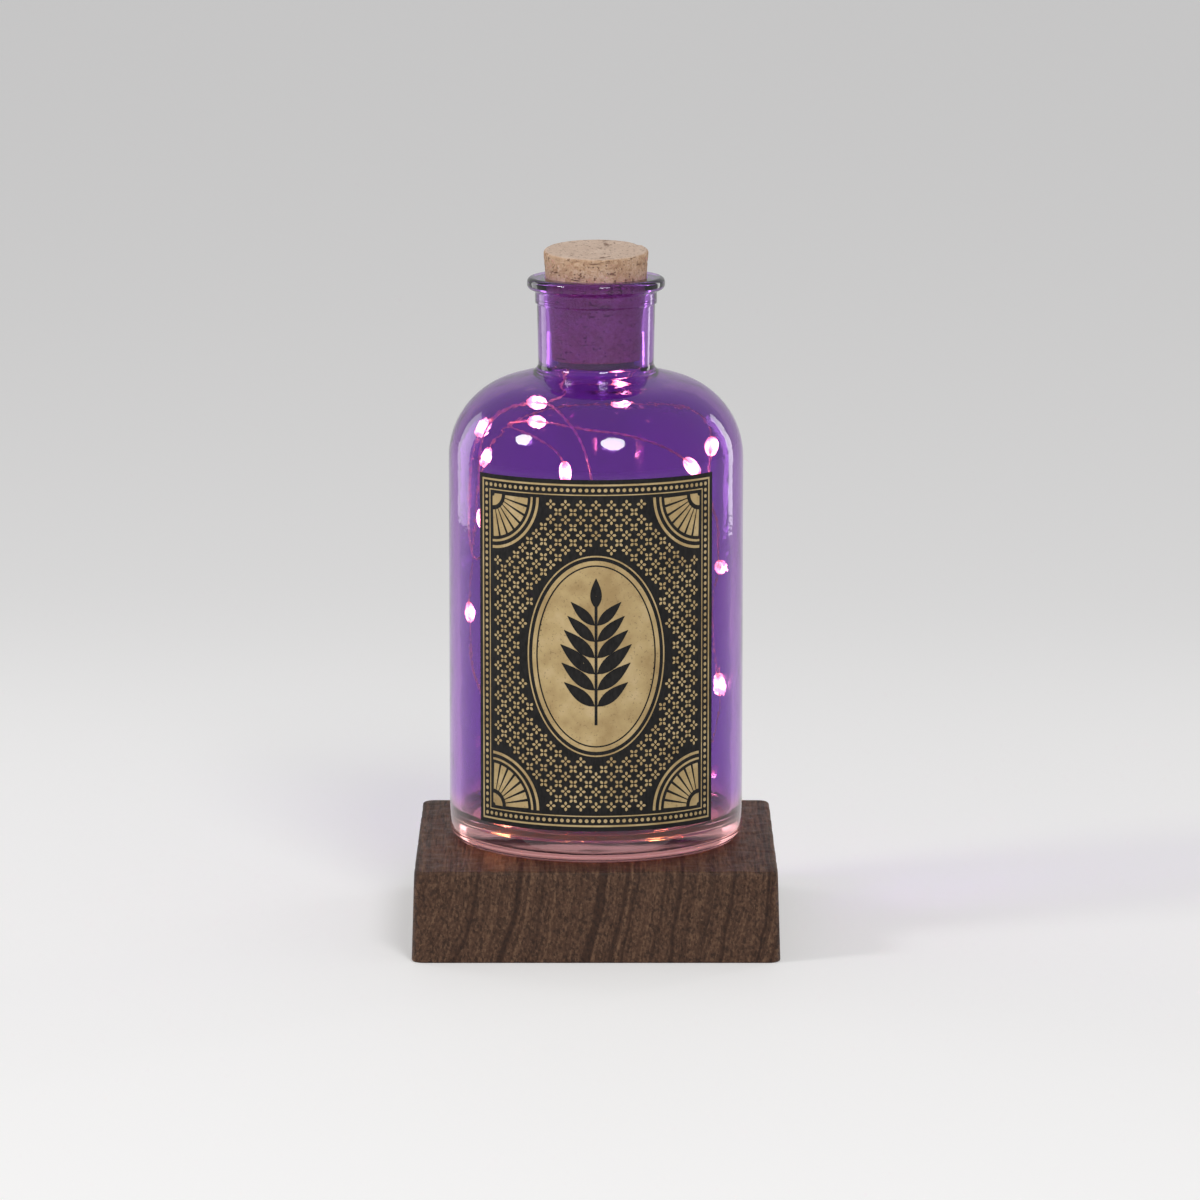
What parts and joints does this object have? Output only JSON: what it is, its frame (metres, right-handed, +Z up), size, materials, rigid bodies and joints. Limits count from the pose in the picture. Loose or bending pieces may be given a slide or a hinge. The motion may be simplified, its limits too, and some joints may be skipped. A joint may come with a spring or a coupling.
{
  "type": "cork bottle light",
  "caption": "Violet glass bottle lamp on a square wooden block: the cork holds the batteries and trails a string of small lights inside the bottle, behind a printed paper label.",
  "frame": {"origin": "middle of the wooden block's underside", "axes": "+Z up along the bottle's axis, -Y towards the label's front"},
  "size_m": [0.1, 0.1, 0.1895],
  "materials": {
    "dark_wood": "dark stained, satin, open grain",
    "violet_glass": "clear violet, polished",
    "label_paper": "matt black paper printed in antique gold",
    "cork_bark": "natural cork, matt, pitted",
    "capsule_plastic": "moulded, matt",
    "cap_plastic": "moulded, fine grained",
    "cell_steel": "nickel plated, satin",
    "board_laminate": "solder mask, satin",
    "resistor_body": "glazed body, satin",
    "contact_brass": "spring brass, satin",
    "seal_rubber": "matt",
    "string_wire": "enamelled copper, glossy",
    "lit_resin": "clear cast resin, lit",
    "lit_chip": "phosphor coated, lit"
  },
  "bodies": {
    "base": {"wood_base": "dark_wood"},
    "bottle": {"bottle": "violet_glass", "label": "label_paper", "led_string_wire": "string_wire", "led_drops": "lit_resin", "led_chips": "lit_chip"},
    "cork": {"cork": "cork_bark", "battery_capsule": "capsule_plastic", "button_cell_1": "cell_steel", "button_cell_2": "cell_steel", "button_cell_3": "cell_steel", "circuit_board": "board_laminate", "resistor": "resistor_body", "positive_contact": "contact_brass", "negative_strip": "contact_brass", "wire_grommet": "seal_rubber", "inner_leads": "string_wire", "led_string_lead": "string_wire"},
    "cap": {"battery_cap": "cap_plastic", "cap_seal": "seal_rubber", "spring_contact": "contact_brass"}
  },
  "joints": [
    {"name": "bottle_lift", "type": "slide", "parent": "base", "child": "bottle", "axis": [0, 0, 1], "range_m": [0, 0.06]},
    {"name": "cork_lift", "type": "slide", "parent": "bottle", "child": "cork", "axis": [0, 0, 1], "range_m": [0, 0.032], "deforming": ["led_string_lead"]},
    {"name": "cap_turn", "type": "hinge", "parent": "cork", "child": "cap", "pos_m": [0, 0, 0.155], "axis": [0, 0, 1], "range_deg": [0, 90]}
  ]
}
